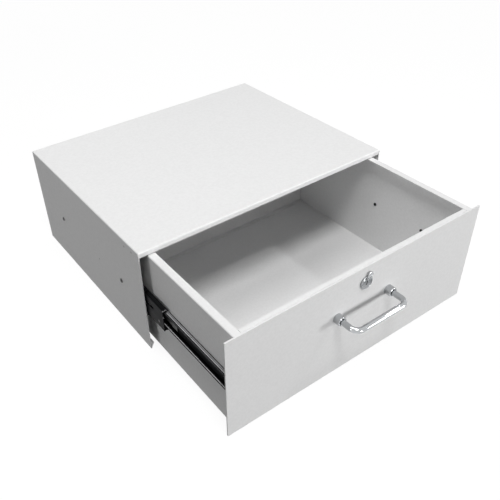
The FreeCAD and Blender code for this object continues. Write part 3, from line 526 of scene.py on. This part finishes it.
def blackNylon():
    # glass-filled nylon as moulded: deep grey-black and waxy, with the mould's spark texture, which is
    # about 0.1 mm and drawn at 0.5 mm so that it shows
    material, tree, shader, place = startMaterial("black moulded nylon", "191919", 0.5)
    first, second = [colourOf(tone) for tone in nylon["colours"]]
    smooth, rough = nylon["roughness"]
    spark = addNode(tree, "ShaderNodeTexNoise", None,
                    {"Vector": place, "Scale": 1 / (nylon["spark"] * mm), "Detail": 3.0})
    share = addNode(tree, "ShaderNodeMapRange", None, {"Value": spark.outputs["Fac"], **usual})
    addNode(tree, "ShaderNodeMix", {"data_type": "RGBA"}, {0: share.outputs[0], 6: first, 7: second},
            {2: shader.inputs["Base Color"]})
    addNode(tree, "ShaderNodeMapRange", None,
            {"Value": spark.outputs["Fac"], **usual, "To Min": smooth, "To Max": rough},
            {0: shader.inputs["Roughness"]})
    addNode(tree, "ShaderNodeBump", None,
            {"Height": spark.outputs["Fac"], "Distance": nylon["sparkDepth"] * mm},
            {"Normal": shader.inputs["Normal"]})
    return material


oxide = {
    "colours": ("09090A", "1A1A1C"),
    "grain": 0.4,
    "roughness": (0.18, 0.34),
}


def blackOxide():
    # heat-blackened screw steel with a film of oil: dark, but it glints along the edge of the head
    material, tree, shader, place = startMaterial("oiled black oxide steel", "0E0E10", 0.25)
    first, second = [colourOf(tone) for tone in oxide["colours"]]
    smooth, rough = oxide["roughness"]
    grain = addNode(tree, "ShaderNodeTexNoise", None,
                    {"Vector": place, "Scale": 1 / (oxide["grain"] * mm), "Detail": 3.0})
    share = addNode(tree, "ShaderNodeMapRange", None, {"Value": grain.outputs["Fac"], **usual})
    addNode(tree, "ShaderNodeMix", {"data_type": "RGBA"}, {0: share.outputs[0], 6: first, 7: second},
            {2: shader.inputs["Base Color"]})
    addNode(tree, "ShaderNodeMapRange", None,
            {"Value": grain.outputs["Fac"], **usual, "To Min": smooth, "To Max": rough},
            {0: shader.inputs["Roughness"]})
    return material


innerLow, innerHigh = nodeBox("left_inner_slide_member")
slideLevel = float(innerLow[2] + innerHigh[2]) / 2
finishes = {
    "powder_coated_steel": powderCoat(),
    "black_slide_steel": blackSlide(),
    "zinc_plated_steel": zincPlate(),
    "ball_steel": bearingSteel(),
    "bright_chrome": polishedChrome(),
    "black_plastic": blackNylon(),
}
wornAndLitMember = wornAndLitSlide(slideLevel)
bareEnd = rubbedEnd(float(nodeBox("left_middle_slide_member")[0][1]), slideLevel)
blackScrew = blackOxide()
lockChrome = satinChrome()
markCoat = markedCoat()
for row in frame["record"]["subparts"]:
    finish = finishes[row["material_slot"]]
    if "inner_slide_member" in row["node"]:
        finish = wornAndLitMember
    elif "middle_slide_member" in row["node"]:
        finish = bareEnd
    elif row["node"] in ("lock_plug", "cover_rivet"):
        finish = lockChrome
    for holder in nodes[row["node"]].material_slots:
        holder.material = finish
print("finishes on")


def gridFaces(rows, columns, ringRows=False):
    # quads between neighbouring points of a grid whose columns close to a ring; its rows may do so too
    i = np.arange(rows if ringRows else rows - 1)[:, None]
    j = np.arange(columns)[None, :]
    nextI, nextJ = (i + 1) % rows, (j + 1) % columns
    corners = np.broadcast_arrays(i * columns + j, i * columns + nextJ,
                                  nextI * columns + nextJ, nextI * columns + j)
    return np.stack(corners, axis=-1).reshape(-1, 4)


def addPiece(name, shells, body, slot, replaced=(), finish=None, sharp=32):
    # shells are (points in mm, quads); one closed, outward-facing mesh that rides on a body, with edges
    # left sharp where they turn by more than that many degrees
    points = np.concatenate([shell[0] for shell in shells])
    starts = np.cumsum([0] + [len(shell[0]) for shell in shells[:-1]])
    faces = np.concatenate([shell[1] + start for shell, start in zip(shells, starts)])
    mesh = bpy.data.meshes.new(name)
    mesh.from_pydata((points * mm).tolist(), [], faces.tolist())
    work = bmesh.new()
    work.from_mesh(mesh)
    bmesh.ops.remove_doubles(work, verts=work.verts, dist=1e-6)
    bmesh.ops.recalc_face_normals(work, faces=work.faces)
    work.to_mesh(mesh)
    work.free()
    mesh.shade_smooth()
    mesh.set_sharp_from_angle(angle=math.radians(sharp))
    mesh.materials.append(finish or finishes[slot])
    piece = bpy.data.objects.new(name, mesh)
    scene.collection.objects.link(piece)
    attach(piece, body)
    if replaced:
        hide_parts(*replaced)


def turned(profile, origin, along, across, count, ring=False):
    # turned shape: a point (radius, height) of the profile at angle t lies at
    # origin + height * along + radius * (cos t * across + sin t * the third direction)
    profile = np.asarray(profile, float)
    along, across = np.asarray(along, float), np.asarray(across, float)
    third = np.cross(along, across)
    t = np.linspace(0, 2 * math.pi, count, endpoint=False)
    spoke = np.cos(t)[:, None] * across + np.sin(t)[:, None] * third
    points = (np.asarray(origin) + profile[:, 1, None, None] * along
              + profile[:, 0, None, None] * spoke[None]).reshape(-1, 3)
    return points, gridFaces(len(profile), count, ringRows=ring)


def arcPoints(centre, radius, first, last, count):
    # points on an arc of a profile, from angle first to last in degrees
    t = np.radians(np.linspace(first, last, count))
    return np.stack([centre[0] + radius * np.cos(t), centre[1] + radius * np.sin(t)], axis=1)


front = np.array((0.0, -1.0, 0.0))
rightward = np.array((1.0, 0.0, 0.0))
panelFace = float(nodeBox("front_panel")[0][1])
handleLow, handleHigh = nodeBox("handle_bar")
handleLevel = float(handleLow[2] + handleHigh[2]) / 2

# the sizes of each piece below are in mm; rings and spokes are how finely it is drawn
handle = {
    "barRadius": 4.2,
    "bend": 11.0,
    "bendPoints": 17,
    "barSpokes": 40,
    "collarRadius": 7.2,
    "collarLength": 10.5,
    "collarRound": 0.9,
    "collarDish": 1.6,
    "collarGap": 0.06,  # between the collar and the bar
    "footRound": 0.4,
    "dishRound": 0.5,
    "collarSpokes": 56,
}


def makeHandle():
    radius, bend, spokes = handle["barRadius"], handle["bend"], handle["barSpokes"]
    half = (handleHigh[0] - handleLow[0]) / 2 - (handleHigh[2] - handleLow[2]) / 2
    reach = panelFace - float(handleLow[1]) - radius
    # the bar's centre line: leg, quarter bend, grip, quarter bend, leg, as (x, distance from the panel)
    turn = np.linspace(0, math.pi / 2, handle["bendPoints"])
    leftBend = np.stack([-half + bend - bend * np.cos(turn), reach - bend + bend * np.sin(turn)], axis=1)
    rightBend = leftBend[::-1] * (-1, 1)
    line = np.concatenate([[(-half, 0.0)], leftBend, rightBend, [(half, 0.0)]])
    step = np.gradient(line, axis=0)
    step[0], step[-1] = (0, 1), (0, -1)
    step /= np.linalg.norm(step, axis=1)[:, None]
    side = np.stack([step[:, 1], -step[:, 0]], axis=1)
    # a ring of the bar is its centre plus radius * (cos a * side + sin a * up)
    a = np.linspace(0, 2 * math.pi, spokes, endpoint=False)
    x = line[:, 0, None] + radius * np.cos(a) * side[:, 0, None]
    out = line[:, 1, None] + radius * np.cos(a) * side[:, 1, None]
    z = np.broadcast_to(handleLevel + radius * np.sin(a), x.shape)
    rings = np.stack([x, panelFace - out, z], axis=-1)
    ends = [np.broadcast_to((end[0], panelFace, handleLevel), (1, spokes, 3)) for end in (line[0], line[-1])]
    points = np.concatenate([ends[0], rings, ends[1]])
    bar = points.reshape(-1, 3), gridFaces(len(points), spokes)
    addPiece("handle_grip", [bar], "drawer", "bright_chrome", ("handle_bar",))
    for name, x in (("left", -half), ("right", half)):
        makeCollar(name, (x, panelFace, handleLevel))


def makeCollar(name, base):
    # a turned collar with a rounded foot, a rounded outer lip and a dished end round the bar
    bore, rim = handle["barRadius"] + handle["collarGap"], handle["collarRadius"]
    length, edge, dish = handle["collarLength"], handle["collarRound"], handle["collarDish"]
    footRound, dishRound = handle["footRound"], handle["dishRound"]
    foot = arcPoints((rim - footRound, footRound), footRound, -90, 0, 4)
    lip = arcPoints((rim - edge, length - edge), edge, 0, 90, 7)
    inner = arcPoints((rim - edge - dishRound, length - dishRound), dishRound, 90, 180, 5)
    profile = np.concatenate([[(bore, 0.0)], foot, lip, inner,
                              [(rim - edge - 2 * dishRound, length - dish), (bore, length - dish)]])
    collar = turned(profile, base, front, rightward, handle["collarSpokes"], ring=True)
    addPiece(f"{name}_handle_collar", [collar], "drawer", "bright_chrome",
             (f"{name}_handle_ferrule",), sharp=40)


makeHandle()
print("handle made")

lock = {
    "bezelRadius": 10.5,
    "bezelHeight": 2.2,
    "bezelRound": 0.7,
    "groove": (1.3, 1.0, 0.5, 0.25),  # corners of the bezel's groove, in from where its rounding starts
    "grooveDepth": 0.18,
    "plugBore": 6.05,
    "mouthBevel": 0.35,
    "barrelRadius": 9.0,
    "neck": 3.0,  # plain length behind the bezel
    "threadStart": 3.4,
    "threadStop": 0.6,  # from the barrel's end
    "threadPitch": 1.0,
    "threadDepth": 0.45,
    "endTaper": 0.7,
    "spokes": 64,
}


def makeLock():
    low, high = nodeBox("lock_housing")
    centre = ((low[0] + high[0]) / 2, panelFace, (low[2] + high[2]) / 2)
    rim, tall, edge = lock["bezelRadius"], lock["bezelHeight"], lock["bezelRound"]
    bore, bevel, barrel = lock["plugBore"], lock["mouthBevel"], lock["barrelRadius"]
    deep = float(high[1]) - panelFace
    # thread drawn as plain grooves: the radius falls by the depth at every half pitch
    along = np.arange(lock["threadStart"], deep - lock["threadStop"], lock["threadPitch"] / 2)
    radii = barrel - lock["threadDepth"] * (np.arange(len(along)) % 2)
    thread = np.stack([radii, -along], axis=1)
    levels = (tall, tall - lock["grooveDepth"], tall - lock["grooveDepth"], tall)
    groove = [(rim - edge - inward, level) for inward, level in zip(lock["groove"], levels)]
    profile = np.concatenate([
        [(bore, tall - bevel), (bore + bevel, tall)], groove,
        arcPoints((rim - edge, tall - edge), edge, 90, 0, 6),
        [(rim, 0.0), (barrel, 0.0), (barrel, -lock["neck"])], thread,
        [(barrel - lock["endTaper"], -deep), (bore, -deep)]])
    bezel = turned(profile, centre, front, rightward, lock["spokes"], ring=True)
    addPiece("lock_bezel", [bezel], "drawer", "bright_chrome", ("lock_housing",), lockChrome, sharp=28)


makeLock()
print("lock made")

keyCover = {
    "reach": 6.3,  # from the pin to the disc's middle
    "disc": 4.6,
    "ear": 2.4,
    "edge": 1.0,
    "crown": 1.0,
    "tilt": 50.0,  # degrees up from the right
    "face": (0.0, 0.2, 0.4, 0.6, 0.75, 0.88, 0.96),  # rings of the face, as shares of the way out
    "rim": ((0.995, 0.9), (1.0, 0.45), (1.0, 0.0), (0.0, 0.0)),  # further rings: share, part of the edge
    "spokes": 72,
}


def makeKeyCover():
    # drop-shaped cover: its outline is the hull of two circles, and at a share s of the way from the
    # disc's middle to the outline its face stands edge + crown * (1 - s^2) ahead of its back
    pinLow, pinHigh = nodeBox("cover_rivet")
    pin = np.array(((pinLow[0] + pinHigh[0]) / 2, nodeBox("dust_cover")[1][1], (pinLow[2] + pinHigh[2]) / 2))
    tilt = math.radians(keyCover["tilt"])
    arm = np.array((math.cos(tilt), math.sin(tilt)))
    ear, disc, reach, edge = [keyCover[k] for k in ("ear", "disc", "reach", "edge")]
    t = np.linspace(0, 2 * math.pi, keyCover["spokes"], endpoint=False)
    way = np.stack([np.cos(t), np.sin(t)], axis=1)
    overDisc = (way @ arm) * reach + disc > ear
    outline = np.where(overDisc[:, None], arm * reach + disc * way, ear * way)
    face, rim = np.array(keyCover["face"]), np.array(keyCover["rim"])
    s = np.concatenate([face, rim[:, 0]])
    rise = np.concatenate([edge + keyCover["crown"] * (1 - face ** 2), edge * rim[:, 1]])
    middle = arm * reach
    flat = middle + s[:, None, None] * (outline - middle)[None]
    points = np.stack([pin[0] + flat[..., 0], np.broadcast_to(pin[1] - rise[:, None], flat.shape[:2]),
                       pin[2] + flat[..., 1]], axis=-1)
    cover = points.reshape(-1, 3), gridFaces(len(s), len(t))
    addPiece("key_cover", [cover], "key_cover", "bright_chrome", ("dust_cover",), sharp=50)


makeKeyCover()
print("key cover made")

panHead = {
    "wall": 0.3,  # share of the head's height that is a straight side
    "fullness": 3.2,
    "recessWidth": 0.9,  # of the cross at its mouth, on a head of the radius below
    "recessHead": 3.6,
    "recessDepth": 1.0,
    "recessDeepest": 0.6,  # the most it takes of the head's height
    "recessSlope": 0.45,  # share of the half width over which its sides slope
    "recessReach": 0.62,  # share of the head's radius where its arms end
    "recessFade": 0.14,  # share of the head's radius over which they rise to that end
    "chamfer": 0.4,  # of the shank's tip, as a share of its radius
    "rings": 26,
    "spokes": 64,
}


def panScrew(seat, along, across, headRadius, headHeight, shankRadius, shankLength):
    # head: height = wall + (headHeight - wall) * (1 - (r / headRadius)^fullness)^0.5, less a cross-shaped
    # recess whose depth falls off with the distance to the nearer of its two centre lines
    seat, along, across = [np.asarray(v, float) for v in (seat, along, across)]
    third = np.cross(along, across)
    share = np.linspace(0, 1, panHead["rings"])
    t = np.linspace(0, 2 * math.pi, panHead["spokes"], endpoint=False)
    r = share[:, None] * headRadius * np.ones_like(t)
    x, y = r * np.cos(t), r * np.sin(t)
    wall = headHeight * panHead["wall"]
    height = wall + (headHeight - wall) * (1 - (r / headRadius) ** panHead["fullness"]) ** 0.5
    width = panHead["recessWidth"] / 2 * headRadius / panHead["recessHead"]
    slot = np.clip((width - np.minimum(abs(x), abs(y))) / (width * panHead["recessSlope"]), 0, 1)
    reachIn = np.clip((headRadius * panHead["recessReach"] - r) / (headRadius * panHead["recessFade"]), 0, 1)
    height -= min(panHead["recessDepth"], headHeight * panHead["recessDeepest"]) * slot * reachIn
    head = seat + height[..., None] * along + x[..., None] * across + y[..., None] * third
    chamfer = shankRadius * panHead["chamfer"]
    low = [(headRadius, 0.0), (shankRadius, 0.0), (shankRadius, -shankLength + chamfer),
           (shankRadius - chamfer, -shankLength), (0.0, -shankLength)]
    rest, _ = turned(low, seat, along, across, panHead["spokes"])
    points = np.concatenate([head.reshape(-1, 3), rest])
    return points, gridFaces(panHead["rings"] + len(low), panHead["spokes"])


clearGap = 6.0  # screws or balls of one node lie further apart than this, and points of one lie closer


def nodePoints(node):
    return np.array([tuple(v.co) for v in nodes[node].data.vertices]) / mm


def groupEnds(places):
    # first and last place of each group, where a gap wider than the clear gap parts two groups
    order = np.sort(places)
    cuts = np.flatnonzero(np.diff(order) > clearGap)
    return order[np.r_[0, cuts + 1]], order[np.r_[cuts, len(order) - 1]]


slideScrews = {
    "outer": {"headRadius": 3.4, "headHeight": 1.7, "slot": "black_slide_steel"},
    "inner": {"headRadius": 2.8, "headHeight": 1.5, "slot": "black_slide_steel"},
    "seatDepth": 1.7,  # from the top of a node's heads to the sheet they sit on
    "shankRadius": 2.0,
    "recessArm": (0, 0.5, 0.866),  # the way in which an arm of the recess points
}


def makeSlideScrews():
    # outer screws have their heads outside the housing, inner ones inside the drawer
    deep, arm = slideScrews["seatDepth"], np.array(slideScrews["recessArm"])
    for side, name in ((-1.0, "left"), (1.0, "right")):
        for kind, away, body in (("outer", side, "housing"), ("inner", -side, "drawer")):
            node = f"{name}_{kind}_slide_screws"
            low, high = nodeBox(node)
            size = slideScrews[kind]
            along = rightward * away
            top = high[0] if away > 0 else low[0]
            firsts, lasts = groupEnds(nodePoints(node)[:, 1])
            shells = []
            for spot in (firsts + lasts) / 2:
                seat = np.array((top, spot, (low[2] + high[2]) / 2)) - along * deep
                shells.append(panScrew(seat, along, arm, size["headRadius"], size["headHeight"],
                                       slideScrews["shankRadius"], high[0] - low[0] - deep))
            addPiece(f"{name}_{kind}_pan_screws", shells, body, size["slot"], (node,), blackScrew, sharp=35)


makeSlideScrews()
print("slide screws made")

ball = {
    "rings": 13,
    "spokes": 24,
}


def ballCentres(node):
    # balls of a row lie apart along the slide, above and below its middle
    places = nodePoints(node)
    middle = (places.min(0) + places.max(0)) / 2
    centres = []
    for half in (places[places[:, 2] < middle[2]], places[places[:, 2] > middle[2]]):
        firsts, lasts = groupEnds(half[:, 1])
        height = (half[:, 2].min() + half[:, 2].max()) / 2
        centres += [(middle[0], y, height) for y in (firsts + lasts) / 2]
    radius = (places[:, 0].max() - places[:, 0].min()) / 2
    return centres, radius


def makeBalls():
    # a ball is half a circle turned about the slide's own direction
    for side in ("left", "right"):
        for row in ("outer", "inner"):
            node = f"{side}_{row}_slide_balls"
            centres, radius = ballCentres(node)
            half = arcPoints((0, 0), radius, 90, -90, ball["rings"])
            half[[0, -1], 0] = 0.0  # the poles lie on the axis, so that they close
            shells = [turned(half, centre, (0, 1, 0), rightward, ball["spokes"]) for centre in centres]
            addPiece(f"{side}_{row}_balls", shells, f"{side}_{row}_cage", "ball_steel", (node,), sharp=60)


makeBalls()
print("balls made")

# small marks on the housing's sides and the slides: (y, z) from the housing's front, or the middle
# member's, and from the floor
dimples = {
    "weldRadius": 1.5,
    "weldRise": 0.22,
    "welds": ((139.0, 81.0), (40.0, 163.0), (20.0, 165.0)),
    "stopRadius": 2.3,
    "stopRise": 0.55,
    "stop": (11.3, 78.1),
    "edge": 0.12,
    "rings": 9,
    "spokes": 28,
}


def dome(centre, along, radius, rise):
    # low dome: height = edge + rise * (1 - (r / radius)^2), closed by a flat foot an edge below the face
    edge = dimples["edge"]
    share = np.linspace(0, 1, dimples["rings"])
    profile = np.stack([share * radius, edge + rise * (1 - share ** 2)], axis=1)
    profile = np.concatenate([profile, [(radius, -edge), (0.0, -edge)]])
    return turned(profile, centre, along, (0, 0, 1), dimples["spokes"])


def makeDimples():
    low, high = nodeBox("housing_shell")
    for side, name in ((-1.0, "left"), (1.0, "right")):
        wall = low[0] if side < 0 else high[0]
        shells = [dome((wall, low[1] + y, z), rightward * side, dimples["weldRadius"], dimples["weldRise"])
                  for y, z in dimples["welds"]]
        addPiece(f"{name}_weld_marks", shells, "housing", "powder_coated_steel", (), markCoat)
        memberLow, memberHigh = nodeBox(f"{name}_middle_slide_member")
        face = memberLow[0] if side < 0 else memberHigh[0]
        y, z = dimples["stop"]
        stop = dome((face, memberLow[1] + y, z), rightward * side, dimples["stopRadius"], dimples["stopRise"])
        addPiece(f"{name}_stop_dimple", [stop], f"{name}_middle", "black_slide_steel", (), blackScrew)


makeDimples()
print("marks made")

scene.view_settings.view_transform = "Standard"
